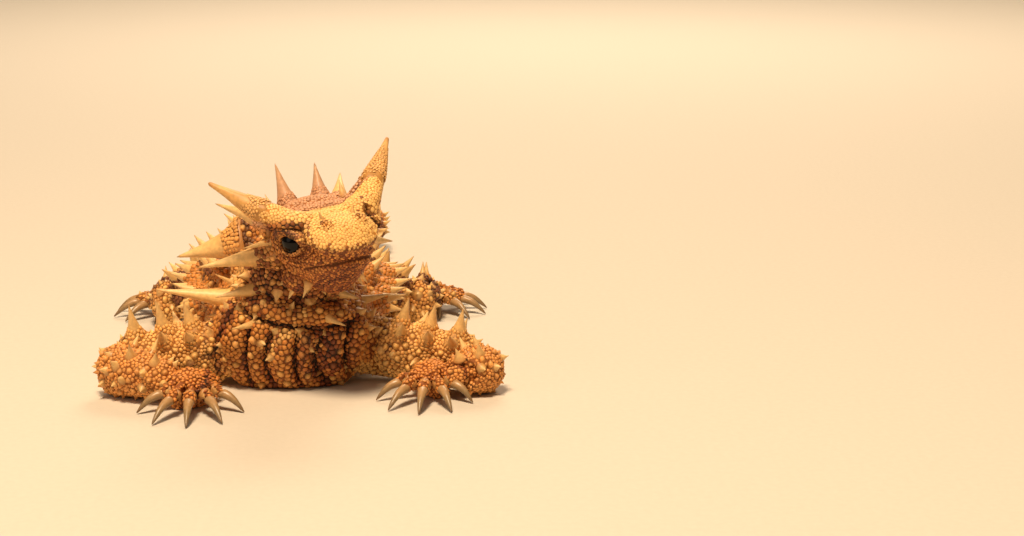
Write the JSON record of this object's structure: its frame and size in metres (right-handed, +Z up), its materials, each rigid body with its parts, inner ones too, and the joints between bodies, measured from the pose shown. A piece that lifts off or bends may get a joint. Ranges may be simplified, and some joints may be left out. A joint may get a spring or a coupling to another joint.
{
  "type": "thorny devil",
  "caption": "Still life-size model of a thorny devil lizard lying on its belly and elbows, its horned head raised and turned to one side, its body, legs and tail set with cone-shaped spines.",
  "frame": {"origin": "on the floor under the middle of the whole outline, in the flat of the belly", "axes": "+X to the animal's left, +Y towards its tail, +Z up; the chest faces -Y and the head is turned from -Y towards +X"},
  "size_m": [0.0752, 0.1418, 0.0409],
  "materials": {
    "skin_ochre": "dry, matt scaly skin, ochre with dark brown markings",
    "spine_pale": "satin pale yellow keratin",
    "eye_dark": "wet, near black"
  },
  "bodies": {
    "root": {"eye_left": "eye_dark", "eye_right": "eye_dark", "foot_left": "skin_ochre", "foot_right": "skin_ochre", "forearm_left": "skin_ochre", "forearm_right": "skin_ochre", "hand_left": "skin_ochre", "hand_right": "skin_ochre", "head": "skin_ochre", "horn_left": "spine_pale", "horn_right": "spine_pale", "nape_hump": "skin_ochre", "neck": "skin_ochre", "shank_left": "skin_ochre", "shank_right": "skin_ochre", "tail_base": "skin_ochre", "tail_tip": "skin_ochre", "thigh_left": "skin_ochre", "thigh_right": "skin_ochre", "torso": "skin_ochre", "upper_arm_left": "skin_ochre", "upper_arm_right": "skin_ochre"}
  },
  "joints": []
}
